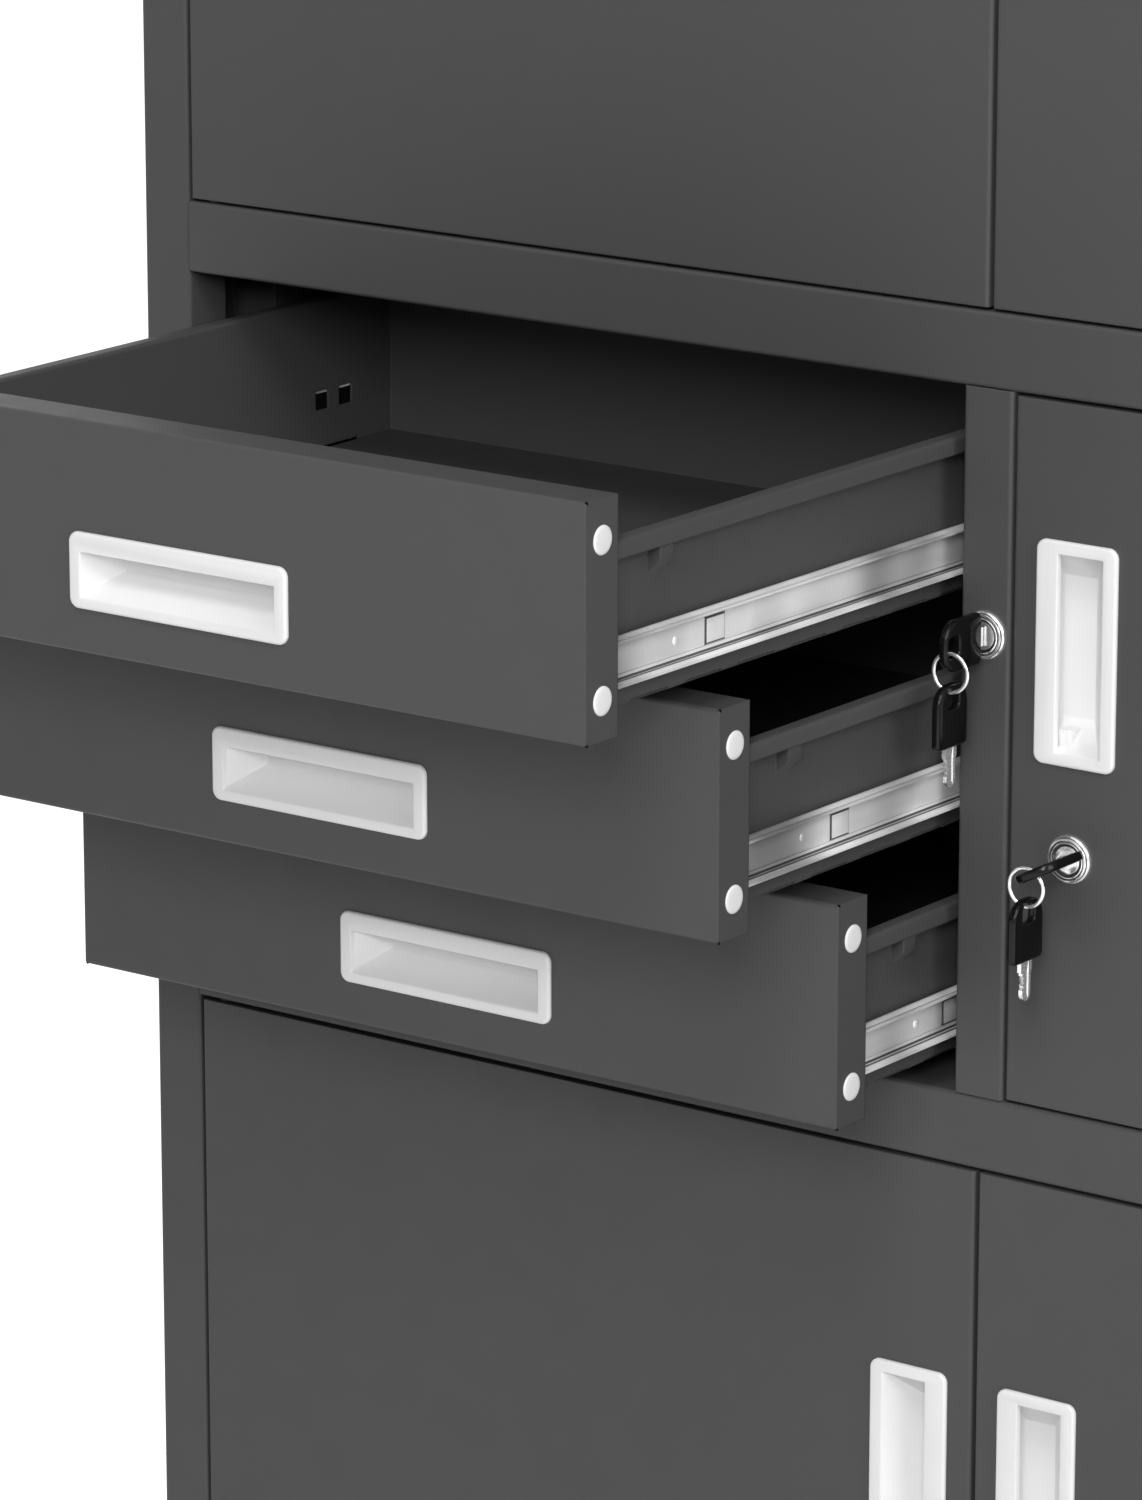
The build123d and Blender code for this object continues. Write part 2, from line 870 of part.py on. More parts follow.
def lock_bar():
    """Folded bar in the post with a finger for each drawer's tab."""
    left = -post_x + sheet + bar_side_gap
    low = front_top(drawer_count - 1) - finger_drop - bar_margin
    high = front_top(0) - finger_drop + bar_margin
    points = [
        (bar_wing, front_y + bar_start),
        (left, front_y + bar_start),
        (left, bar_back),
    ]
    tip = left - bar_side_gap - sheet - finger_reach
    slot_x = (crank + crank_x) / 2
    slot_long = crank - crank_x + 2 * (crank_pin_radius + crank_slot_gap)
    with BuildPart() as bar:
        extrude(folded(Plane.XY.offset(low), points, Side.RIGHT, bar_sheet), amount=high - low)
        for row in range(drawer_count):
            z0 = front_top(row) - finger_drop - finger_height / 2
            block(tip, left + bar_sheet, bar_back - bar_sheet, bar_back, z0, z0 + finger_height)
        with BuildSketch(at_y(front_y + bar_start + 2 * bar_sheet)):
            with Locations((slot_x, post_lock[1] - crank_z)):
                Rectangle(slot_long, 2 * (crank_pin_radius + crank_slot_gap))
        extrude(amount=3 * bar_sheet, mode=Mode.SUBTRACT)
    return bar.part


def key_plane(spot, angle):
    """Plane of a key in its lock: X out of the door, Y across the key."""
    across = (cos(radians(angle)), 0, sin(radians(angle)))
    normal = (-across[2], 0, across[0])
    return Plane(origin=(spot[0], head_root, spot[1]), x_dir=(0, -1, 0), z_dir=normal)


def spare_plane(ring):
    """Plane of the spare key that hangs on a ring, its eye round the wire."""
    x, z = ring
    wire = z - ring_radius
    rise = ring_radius - sqrt(ring_radius**2 - (head_thick / 2) ** 2)
    eye_z = wire + rise + ring_wire + ring_play - eye_width / 2
    root = eye_z - head_length + eye_inset
    return Plane(origin=(x, eye_y, root), x_dir=(0, 0, 1), z_dir=(1, 0, 0))


def key_head(plane):
    """Moulded key head with an eye for the ring."""
    with BuildPart() as head:
        with BuildSketch(plane.offset(-head_thick / 2)) as outline:
            with Locations((head_length / 2, 0)):
                Rectangle(head_length, head_width)
            fillet(outline.vertices().sort_by(Axis.X)[-2:], radius=head_round)
            with Locations((head_length - eye_inset, 0)):
                Rectangle(eye_width, eye_length, mode=Mode.SUBTRACT)
        extrude(amount=head_thick)
    return head.part


def key_blade(plane, length):
    """Flat blade with a stepped edge and a pointed tip."""
    half_width = blade_width / 2
    with BuildPart() as blade:
        with BuildSketch(plane.offset(-blade_thick / 2)):
            with BuildLine():
                Polyline(
                    (0, -half_width),
                    (0, half_width),
                    (-length + blade_tip, half_width),
                    (-length, 0),
                    (-length + blade_tip, -half_width + blade_tip / 2),
                    (-length / 3, -half_width + blade_tip / 2),
                    (-length / 3, -half_width),
                    close=True,
                )
            make_face()
        extrude(amount=blade_thick)
    return blade.part


def ring_centre(spot, angle):
    """Centre of a ring that hangs in the lowest end of a key's eye."""
    turn = radians(angle)
    across = (cos(turn), sin(turn))
    normal = (-across[1], across[0])
    inner = ring_radius - ring_wire - ring_play
    corners = []
    for side in (1, -1):
        w = -eye_length / 2
        n = side * head_thick / 2
        corners.append((w * across[0] + n * normal[0], w * across[1] + n * normal[1]))
    high = max(corners, key=lambda c: c[1])
    x = (corners[0][0] + corners[1][0]) / 2 if abs(normal[1]) < 0.1 else high[0]
    drop = min(sqrt(inner**2 - (x - c[0]) ** 2) - c[1] for c in corners)
    return (spot[0] + x, spot[1] - drop)


def key_ring(centre):
    """Ring of square wire in the plane of the front, drawn with short straight runs."""
    with BuildPart() as ring:
        with BuildSketch(at_y(eye_y + ring_wire)):
            with Locations(centre):
                RegularPolygon(ring_radius + ring_wire, ring_sides)
                RegularPolygon(ring_radius - ring_wire, ring_sides, mode=Mode.SUBTRACT)
        extrude(amount=2 * ring_wire)
    return ring.part


def main():
    """Builds every piece and writes it."""
    left = side_panel()
    save(left, "side_left")
    save(mirror(left, about=Plane.YZ), "side_right")
    save(back_sheet(), "back_panel")
    save(top_cover(), "top_panel")
    save(shelf_with_rail(base_height, base_height, base_height), "bottom_panel")
    save(shelf_with_rail(band_bottom, rail, shelf_flange), "lower_divider")
    save(shelf_with_rail(upper_bottom, rail, shelf_flange), "upper_divider")
    save(centre_post(), "centre_post")
    save(slide_uprights(), "slide_uprights")
    upper_shelf = upper_bottom + upper_shelf_rise
    lower_shelf = base_height + lower_shelf_rise
    save(loose_shelf(upper_shelf), "upper_shelf")
    save(loose_shelf(lower_shelf), "lower_shelf")
    save(clips((upper_shelf, lower_shelf)), "shelf_clips")
    save(outer_members(), "slide_outer_members")
    save(hinge_pins(), "hinge_pins")
    save(lock_bar(), "lock_bar")
    for row in range(drawer_count):
        number = row + 1
        save(drawer_front(row), f"drawer_{number}_front")
        save(drawer_tray(row), f"drawer_{number}_tray")
        save(drawer_handle(row), f"drawer_{number}_handle")
        save(drawer_caps(row), f"drawer_{number}_caps")
        save(inner_members(row), f"drawer_{number}_slide_members")
        save(ball_cages(row), f"drawer_{number}_ball_cages")
    for name, door in doors.items():
        save(door_pan(door), name)
        save(door_handle(door), name.replace("door", "handle"))
    for name, spot, angle, cam in (
        ("post", post_lock, 90.0, post_cam()),
        ("safe", safe_lock, 90.0 - safe_key_angle, safe_cam()),
    ):
        save(lock_housing(spot), f"{name}_lock_housing")
        save(lock_plug(spot, angle), f"{name}_lock_plug")
        save(cam, f"{name}_lock_cam")
        plane = key_plane(spot, angle)
        save(key_head(plane), f"{name}_key_head")
        save(key_blade(plane, blade_inside + head_exposed), f"{name}_key_blade")
        ring = ring_centre(spot, angle)
        save(key_ring(ring), f"{name}_key_ring")
        hung = spare_plane(ring)
        save(key_head(hung), f"{name}_spare_head")
        save(key_blade(hung, blade_spare), f"{name}_spare_blade")


main()
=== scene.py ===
import json
import math

import bmesh
import bpy
from mathutils import Matrix, Vector


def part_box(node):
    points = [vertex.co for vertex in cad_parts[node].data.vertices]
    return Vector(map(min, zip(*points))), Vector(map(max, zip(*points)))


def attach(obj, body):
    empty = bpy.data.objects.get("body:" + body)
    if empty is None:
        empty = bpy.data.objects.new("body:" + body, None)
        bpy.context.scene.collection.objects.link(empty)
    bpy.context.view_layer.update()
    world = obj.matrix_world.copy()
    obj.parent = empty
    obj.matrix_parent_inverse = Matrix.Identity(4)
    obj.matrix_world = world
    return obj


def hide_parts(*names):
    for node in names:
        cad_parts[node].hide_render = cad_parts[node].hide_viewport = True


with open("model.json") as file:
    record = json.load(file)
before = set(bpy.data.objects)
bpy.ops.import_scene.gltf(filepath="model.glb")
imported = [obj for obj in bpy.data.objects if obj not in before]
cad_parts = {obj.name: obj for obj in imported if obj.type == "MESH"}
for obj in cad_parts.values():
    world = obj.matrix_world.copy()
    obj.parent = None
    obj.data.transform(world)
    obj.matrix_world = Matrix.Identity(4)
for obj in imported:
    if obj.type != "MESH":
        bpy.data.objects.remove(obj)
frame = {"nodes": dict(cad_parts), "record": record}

MM = 0.001
SHARP = math.radians(35.0)
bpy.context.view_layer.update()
nodes = frame["nodes"]


# Material helpers


def new_material(name):
    """A material with only its shader and output, ready for more nodes."""
    mat = bpy.data.materials.new(name)
    mat.use_nodes = True
    return mat, mat.node_tree, mat.node_tree.nodes["Principled BSDF"]


def position(tree, stretch=(1.0, 1.0, 1.0)):
    """Object coordinates, stretched, so that a texture has real sizes."""
    coords = tree.nodes.new("ShaderNodeTexCoord")
    mapping = tree.nodes.new("ShaderNodeMapping")
    mapping.inputs["Scale"].default_value = stretch
    tree.links.new(coords.outputs["Object"], mapping.inputs["Vector"])
    return mapping.outputs["Vector"]


def noise(tree, vector, scale, detail=2.0, rough=0.5):
    """Noise value with so many cycles to the metre."""
    tex = tree.nodes.new("ShaderNodeTexNoise")
    tex.inputs["Scale"].default_value = scale
    tex.inputs["Detail"].default_value = detail
    tex.inputs["Roughness"].default_value = rough
    tree.links.new(vector, tex.inputs["Vector"])
    return tex.outputs["Fac"]


def ramp(tree, value, low, high):
    """Turns the middle part of a noise value into a range of numbers."""
    node = tree.nodes.new("ShaderNodeMapRange")
    node.inputs["To Min"].default_value = low
    node.inputs["To Max"].default_value = high
    node.inputs["From Min"].default_value = 0.3
    node.inputs["From Max"].default_value = 0.7
    tree.links.new(value, node.inputs["Value"])
    return node.outputs["Result"]


def grey_mix(tree, value, dark, light):
    """Colour between two levels of grey by a value."""
    node = tree.nodes.new("ShaderNodeMix")
    node.data_type = "RGBA"
    node.inputs["A"].default_value = (dark, dark, dark, 1)
    node.inputs["B"].default_value = (light, light, light, 1)
    tree.links.new(value, node.inputs["Factor"])
    return node.outputs["Result"]


def bump(tree, value, height, normal=None):
    """Bump of a real height in metres."""
    node = tree.nodes.new("ShaderNodeBump")
    node.inputs["Strength"].default_value = 1.0
    node.inputs["Distance"].default_value = height
    tree.links.new(value, node.inputs["Height"])
    if normal is not None:
        tree.links.new(normal, node.inputs["Normal"])
    return node.outputs["Normal"]


def soft_edge(tree, radius):
    """Normal that rounds the edges over a small radius."""
    node = tree.nodes.new("ShaderNodeBevel")
    node.samples = 6
    node.inputs["Radius"].default_value = radius
    return node.outputs["Normal"]


# Materials


def powder_coat():
    """Dark grey powder coat: fine orange peel, slight tone change, soft folds."""
    mat, tree, shader = new_material("powder_coat")
    spot = position(tree)
    tone = noise(tree, spot, 3.0, 3.0)
    colour = grey_mix(tree, tone, 0.061, 0.070)
    tree.links.new(colour, shader.inputs["Base Color"])
    patch = noise(tree, spot, 60.0, 3.0)
    tree.links.new(ramp(tree, patch, 0.44, 0.52), shader.inputs["Roughness"])
    shader.inputs["Specular IOR Level"].default_value = 0.25
    fold = soft_edge(tree, 1.1 * MM)
    grain = noise(tree, spot, 900.0, 2.0)
    tree.links.new(bump(tree, grain, 0.03 * MM, fold), shader.inputs["Normal"])
    return mat


def white_plastic():
    """Moulded white plastic with a faint flow texture."""
    mat, tree, shader = new_material("white_plastic")
    spot = position(tree)
    tone = noise(tree, spot, 25.0, 2.0)
    colour = grey_mix(tree, tone, 0.78, 0.83)
    tree.links.new(colour, shader.inputs["Base Color"])
    tree.links.new(ramp(tree, noise(tree, spot, 140.0), 0.30, 0.38), shader.inputs["Roughness"])
    shader.inputs["Specular IOR Level"].default_value = 0.4
    shader.inputs["Subsurface Weight"].default_value = 0.05
    shader.inputs["Subsurface Radius"].default_value = (0.002, 0.002, 0.002)
    fold = soft_edge(tree, 0.5 * MM)
    tree.links.new(bump(tree, noise(tree, spot, 1200.0), 0.006 * MM, fold), shader.inputs["Normal"])
    return mat


def rolled_zinc(name, dark, light, rough, metal):
    """Rolled zinc plated strip: painted reflection in broad dull and bright patches, faint lines
    along the run.
    """
    mat, tree, shader = new_material(name)
    lines = noise(tree, position(tree, (1.0, 0.02, 1.0)), 500.0, 1.0)
    # Painted reflection: broad noise patches swing the base colour between dull and bright.
    painted_reflection_zones = noise(tree, position(tree, (0.3, 1.0, 0.3)), 15.0, 1.0)
    colour = grey_mix(tree, ramp(tree, painted_reflection_zones, -0.4, 1.4), dark, light)
    tree.links.new(colour, shader.inputs["Base Color"])
    tree.links.new(ramp(tree, lines, rough * 0.94, rough * 1.06), shader.inputs["Roughness"])
    shader.inputs["Metallic"].default_value = metal
    tree.links.new(bump(tree, lines, 0.0006 * MM), shader.inputs["Normal"])
    return mat


def plated(name, level, rough, scratch, metal):
    """Bright plating with fine scratches."""
    mat, tree, shader = new_material(name)
    lines = noise(tree, position(tree, (1.0, 0.1, 1.0)), 2500.0, 3.0, 0.6)
    clouds = noise(tree, position(tree), 120.0, 2.0)
    tree.links.new(grey_mix(tree, clouds, level * 0.9, level), shader.inputs["Base Color"])
    tree.links.new(ramp(tree, lines, rough * 0.7, rough * 1.4), shader.inputs["Roughness"])
    shader.inputs["Metallic"].default_value = metal
    tree.links.new(bump(tree, lines, scratch), shader.inputs["Normal"])
    return mat


def black_plastic():
    """Glossy black moulding of the key heads."""
    mat, tree, shader = new_material("black_plastic")
    spot = position(tree)
    tone = noise(tree, spot, 200.0, 2.0)
    colour = grey_mix(tree, tone, 0.003, 0.006)
    tree.links.new(colour, shader.inputs["Base Color"])
    tree.links.new(ramp(tree, noise(tree, spot, 700.0), 0.16, 0.2), shader.inputs["Roughness"])
    shader.inputs["Specular IOR Level"].default_value = 0.2
    tree.links.new(bump(tree, noise(tree, spot, 900.0), 0.0015 * MM), shader.inputs["Normal"])
    return mat


def painted_hole_shade():
    """Almost black, matt look of painted shade for the inside of a small opening."""
    mat, tree, shader = new_material("painted_hole_shade")
    tone = noise(tree, position(tree), 400.0)
    colour = grey_mix(tree, tone, 0.002, 0.006)
    tree.links.new(colour, shader.inputs["Base Color"])
    shader.inputs["Roughness"].default_value = 0.9
    shader.inputs["Specular IOR Level"].default_value = 0.05
    return mat


LOOKS = {
    "paint": powder_coat(),
    # Painted shade for small openings and the gaps behind them.
    "painted_hole_shade": painted_hole_shade(),
    "white_plastic": white_plastic(),
    # Zinc with strong painted reflection in its colour, from dull to bright.
    "zinc": rolled_zinc("rolled_zinc", 0.26, 0.97, 0.3, 0.3),
    # Dark copy of the zinc: painted shade for the slides' grooves, folds, step and lug edges.
    "zinc_painted_shade": rolled_zinc("zinc_painted_shade", 0.05, 0.14, 0.4, 0.5),
    # Dark copy of the chrome: painted shade for the bezels' grooves, step and dish.
    "chrome_painted_shade": plated("chrome_painted_shade", 0.10, 0.3, 0.001 * MM, 0.85),
    "cage_steel": rolled_zinc("cage_steel", 0.34, 0.48, 0.34, 0.8),
    "lock_chrome": plated("lock_chrome", 0.88, 0.2, 0.001 * MM, 0.85),
    "key_plastic": black_plastic(),
    "key_metal": plated("key_nickel", 0.84, 0.22, 0.002 * MM, 0.75),
}
SLOT_OF = {row["node"]: row["material_slot"] for row in frame["record"]["subparts"]}
BODY_OF = {}
for body, members in frame["record"]["behaviour"]["bodies"].items():
    for member in members:
        BODY_OF[member] = body


def finish_of(obj, slot):
    """Gives an object the look of a material slot."""
    obj.data.materials.clear()
    obj.data.materials.append(LOOKS[slot])


for name, obj in nodes.items():
    finish_of(obj, SLOT_OF[name])
for slot in range(len(nodes["hinge_pins"].material_slots)):
    nodes["hinge_pins"].material_slots[slot].material = LOOKS["paint"]


# Helpers for the pieces made here


def tidy_copy(node):
    """The node's own mesh with its flat faces joined up again."""
    bm = bmesh.new()
    bm.from_mesh(nodes[node].data)
    bmesh.ops.remove_doubles(bm, verts=bm.verts, dist=0.002 * MM)
    flat = math.radians(0.5)
    bmesh.ops.dissolve_limit(bm, angle_limit=flat, verts=bm.verts, edges=bm.edges)
    bmesh.ops.recalc_face_normals(bm, faces=bm.faces)
    return bm


def sharp_edges(bm, keep):
    """Edges between faces that meet at a clear angle, of those asked for."""
    found = []
    for edge in bm.edges:
        if len(edge.link_faces) == 2 and edge.calc_face_angle(0.0) > SHARP and keep(edge):
            found.append(edge)
    return found


def round_off(bm, edges, radius, segments):
    """Rounds edges to a radius."""
    bmesh.ops.bevel(
        bm,
        geom=edges,
        offset=radius,
        offset_type="OFFSET",
        segments=segments,
        profile=0.5,
        affect="EDGES",
        clamp_overlap=True,
    )


def middle(edge):
    """Middle of an edge."""
    return (edge.verts[0].co + edge.verts[1].co) / 2


def edges_of(verts):
    """All edges that meet some points."""
    return list({edge for vert in verts for edge in vert.link_edges})


def loft(bm, rings, wrap=False):
    """Skin over rings of as many points, with its ends closed or joined up."""
    rows = [[bm.verts.new(point) for point in ring] for ring in rings]
    pairs = list(zip(rows, rows[1:]))
    if wrap:
        pairs.append((rows[-1], rows[0]))
    count = len(rows[0])
    for near, far in pairs:
        for i in range(count):
            j = (i + 1) % count
            bm.faces.new((near[i], near[j], far[j], far[i]))
    if not wrap:
        bm.faces.new(rows[0][::-1])
        bm.faces.new(rows[-1])


def circle(centre, axis, radius, along, steps):
    """Points round an axis, so far along it."""
    axis = Vector(axis)
    across = axis.orthogonal().normalized()
    other = axis.cross(across)
    points = []
    for i in range(steps):
        turn = 2 * math.pi * i / steps
        swing = across * math.cos(turn) + other * math.sin(turn)
        points.append(Vector(centre) + axis * along + swing * radius)
    return points


def lathe(bm, centre, axis, profile, steps=64, wrap=False):
    """Turned shape from pairs of radius and height in millimetres."""
    rings = [circle(centre, axis, r * MM, h * MM, steps) for r, h in profile]
    loft(bm, rings, wrap)


def slab(bm, low, high):
    """Box between two corners, as a part of a larger piece."""
    size = Vector(high) - Vector(low)
    spot = (Vector(high) + Vector(low)) / 2
    form = Matrix.Translation(spot) @ Matrix.Diagonal((*size, 1.0))
    return bmesh.ops.create_cube(bm, size=1.0, matrix=form)["verts"]


def new_piece(name, bm, node, look=None, crease=32.0, replaced=True):
    """Names a finished mesh; it rides on the node's body and takes its finish."""
    bmesh.ops.remove_doubles(bm, verts=bm.verts, dist=0.001 * MM)
    bmesh.ops.recalc_face_normals(bm, faces=bm.faces)
    mesh = bpy.data.meshes.new(name)
    bm.to_mesh(mesh)
    bm.free()
    mesh.polygons.foreach_set("use_smooth", [True] * len(mesh.polygons))
    mesh.set_sharp_from_angle(angle=math.radians(crease))
    obj = bpy.data.objects.new(name, mesh)
    bpy.context.scene.collection.objects.link(obj)
    finish_of(obj, SLOT_OF[node])
    if look:
        mesh.materials.clear()
        mesh.materials.append(LOOKS[look])
    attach(obj, BODY_OF[node])
    if replaced:
        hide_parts(node)
    return obj


def shade_faces(obj, look, is_dark):
    """Gives a second look, painted shade, to the faces of a piece that a test picks by middle and
    normal.
    """
    obj.data.materials.append(LOOKS[look])
    for face in obj.data.polygons:
        if is_dark(face.center, face.normal):
            face.material_index = 1


# Handles

# Lips of a door's pull, how far its catch block reaches into the lip and the cup, its depths
# behind the face and its height
HANDLE_WIDE_LIP = 10.5 * MM
HANDLE_END_LIP = 5.5 * MM
CATCH_IN_LIP = 1.0 * MM
CATCH_IN_CUP = 5.5 * MM
CATCH_FRONT = 4.2 * MM
CATCH_BACK = 15.8 * MM
CATCH_TALL = 9.0 * MM
RIM_ROUND = 1.2 * MM
CUP_ROUND = 0.45 * MM
CATCH_ROUND = 0.5 * MM


def moulded_handle(node, free_side):
    """Recessed pull with a rounded rim and soft inner edges, and on a door its catch block."""
    bm = tidy_copy(node)
    low, high = [Vector(v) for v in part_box(node)]
    centre = (low + high) / 2
    half = (high - low) / 2
    face = low.y

    def off_centre(edge):
        spot = middle(edge)
        return max(abs(spot.x - centre.x) / half.x, abs(spot.z - centre.z) / half.z)

    def on_rim(edge):
        ahead = all(abs(v.co.y - face) < 0.02 * MM for v in edge.verts)
        return ahead and off_centre(edge) > 0.93

    def shown(edge):
        behind = all(v.co.y > face + 1.9 * MM for v in edge.verts)
        return not (behind and off_centre(edge) > 0.80)

    round_off(bm, sharp_edges(bm, on_rim), RIM_ROUND, 4)
    round_off(bm, sharp_edges(bm, shown), CUP_ROUND, 2)
    if free_side:
        lip_edge = centre.x + free_side * (half.x - HANDLE_WIDE_LIP)
        x0, x1 = sorted((lip_edge + free_side * CATCH_IN_LIP, lip_edge - free_side * CATCH_IN_CUP))
        z0 = low.z + HANDLE_END_LIP
        near = (x0, face + CATCH_FRONT, z0)
        verts = slab(bm, near, (x1, face + CATCH_BACK, z0 + CATCH_TALL))
        round_off(bm, edges_of(verts), CATCH_ROUND, 2)
    new_piece(node + "_moulding", bm, node)


# Keys, rings and locks

# Key head in millimetres: broad width, thickness, corners, edge rounding and the eye
HEAD_WIDE = 22.0
HEAD_THICK = 4.0
HEAD_ROUND_FAR = 9.0
HEAD_ROUND_NEAR = 2.4
HEAD_EDGE = 1.3
EYE_LONG = 8.4
EYE_WIDE = 9.0
EYE_INSET = 6.4
EYE_ROUND = 2.6
EYE_EDGE = 0.9


def rounded_loop(low, high, far_round, near_round):
    """Rectangle with round corners, as pairs of length and width, eight steps to a corner."""
    points = []
    for number, (way_l, way_w) in enumerate(((1, 1), (-1, 1), (-1, -1), (1, -1))):
        r = far_round if way_l > 0 else near_round
        mid_l = high[0] - r if way_l > 0 else low[0] + r
        mid_w = high[1] - r if way_w > 0 else low[1] + r
        for step in range(9):
            turn = math.pi / 2 * (number + step / 8)
            points.append((mid_l + r * math.cos(turn), mid_w + r * math.sin(turn)))
    return points


def rim_layers(low, high, rounds, edge, steps, first, swell):
    """Rounded loops and their levels over both rims of a head or, swelling, of its eye."""
    layers = []
    for side in (first, -first):
        for step in range(steps + 1):
            turn = math.pi / 2 * (step if side == first else steps - step) / steps
            off = swell * edge * (1 - math.sin(turn))
            level = side * (HEAD_THICK / 2 - edge + edge * math.cos(turn))
            near = (low[0] - off, low[1] - off)
            far = (high[0] + off, high[1] + off)
            layers.append((rounded_loop(near, far, rounds[0] + off, rounds[1] + off), level))
    return layers


def moulded_head(node, out):
    """Key head with round shoulders, softly rounded rims and a rounded eye."""
    low, high = [Vector(v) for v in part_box(node)]
    centre = (low + high) / 2
    out = Vector(out)
    half_long = abs((high - low).dot(out)) / 2 / MM
    half_wide = HEAD_WIDE / 2
    broad = max(nodes[node].data.polygons, key=lambda face: face.area).normal.copy()
    wide = broad.cross(out)
    corners = (HEAD_ROUND_FAR, HEAD_ROUND_NEAR)
    near, far = (-half_long, -half_wide), (half_long, half_wide)
    layers = rim_layers(near, far, corners, HEAD_EDGE, 4, 1, -1)
    eye_middle = half_long - EYE_INSET
    corners = (EYE_ROUND, EYE_ROUND)
    near = (eye_middle - EYE_LONG / 2, -EYE_WIDE / 2)
    far = (eye_middle + EYE_LONG / 2, EYE_WIDE / 2)
    layers += rim_layers(near, far, corners, EYE_EDGE, 3, -1, 1)
    rings = []
    for loop, level in layers:
        rings.append([centre + (out * u + wide * v + broad * level) * MM for u, v in loop])
    bm = bmesh.new()
    loft(bm, rings, True)
    new_piece(node + "_moulding", bm, node, crease=40.0)


# Ring's flat wire: half its width and thickness, the gap between the turns' middles, its run
WIRE_HALF_WIDE = 0.74 * MM
WIRE_HALF_THICK = 0.37 * MM
WIRE_INSET = 0.8 * MM
COIL_PITCH = 0.84 * MM
COIL_START = 0.4
COIL_TURNS = 2 * 0.985
COIL_STEPS = 144
WIRE_SIDES = 10


def split_ring(node):
    """Two turns of flat wire side by side, with cut ends."""
    low, high = [Vector(v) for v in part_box(node)]
    centre = (low + high) / 2
    radius = (high.x - low.x) / 2 - WIRE_INSET
    bm = bmesh.new()
    rings = []
    for i in range(COIL_STEPS + 1):
        share = i / COIL_STEPS
        turn = COIL_START + share * 2 * math.pi * COIL_TURNS
        out = Vector((math.cos(turn), 0, math.sin(turn)))
        spot = centre + out * radius + Vector((0, (share - 0.5) * COIL_PITCH, 0))
        ring = []
        for k in range(WIRE_SIDES):
            lean = 2 * math.pi * k / WIRE_SIDES
            across = out * math.cos(lean) * WIRE_HALF_WIDE
            ring.append(spot + across + Vector((0, math.sin(lean) * WIRE_HALF_THICK, 0)))
        rings.append(ring)
    loft(bm, rings)
    new_piece(node + "_coil", bm, node, crease=50.0)


# A spare key's blade: distance from the head, front edge and back edge, in millimetres
BLADE_STEPS = (
    (0.0, -4.0, 4.0),
    (4.3, -4.0, 4.0),
    (4.9, -2.9, 3.2),
    (5.8, -2.9, 3.2),
    (6.7, -1.8, 3.2),
    (7.6, -2.7, 3.2),
    (8.8, -1.5, 3.2),
    (10.0, -2.6, 3.2),
    (11.0, -2.0, 3.2),
    (12.1, -2.8, 3.2),
    (14.4, -2.8, 3.1),
    (15.7, -2.1, 2.5),
    (16.5, -1.1, 1.7),
    (16.9, -0.2, 0.8),
)
BLADE_HALF_THICK = 0.93 * MM
GROOVE_DEEP = 0.45 * MM
GROOVE_START = 1.0
GROOVE_END = 15.0
NO_GROOVE = 0.02 * MM


def cut_blade(node):
    """Spare key's blade with its cuts, a long groove on both sides and a rounded tip."""
    low, high = [Vector(v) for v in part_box(node)]
    centre = (low + high) / 2
    half = BLADE_HALF_THICK
    bm = bmesh.new()
    rings = []
    for down, front, back in BLADE_STEPS:
        near = max(front + 0.2, min(0.3, back - 0.5))
        far = min(back - 0.2, max(near + 0.1, 1.6))
        deep = half - (GROOVE_DEEP if GROOVE_START < down < GROOVE_END else NO_GROOVE)
        side = [(front, half), (near, half), (near + 0.2, deep), (far - 0.2, deep), (far, half)]
        side.append((back, half))
        outline = side + [(v, -h) for v, h in reversed(side)]
        z = high.z - down * MM
        rings.append([Vector((centre.x + h, centre.y + v * MM, z)) for v, h in outline])
    loft(bm, rings)
    new_piece(node + "_cut", bm, node, crease=30.0)


# Bezel's section ahead of the face: radius and height in millimetres
BEZEL = (
    (10.4, 0.0),
    (10.4, 0.9),
    (10.15, 1.4),
    (9.6, 1.9),
    (9.45, 2.6),
    (9.2, 2.9),
    (8.6, 3.0),
    (8.3, 2.8),
    (8.15, 2.35),
    (7.9, 2.35),
    (7.75, 2.7),
    (7.45, 2.85),
    (7.1, 2.7),
    (6.5, 2.0),
    (6.1, 1.6),
    (6.1, 0.0),
)
BEZEL_PROUD = 3.0 * MM
BARREL_RADIUS = 8.5
BARREL_FLAT = 6.8
BARREL_BORE = 6.1
BARREL_STEPS = 72


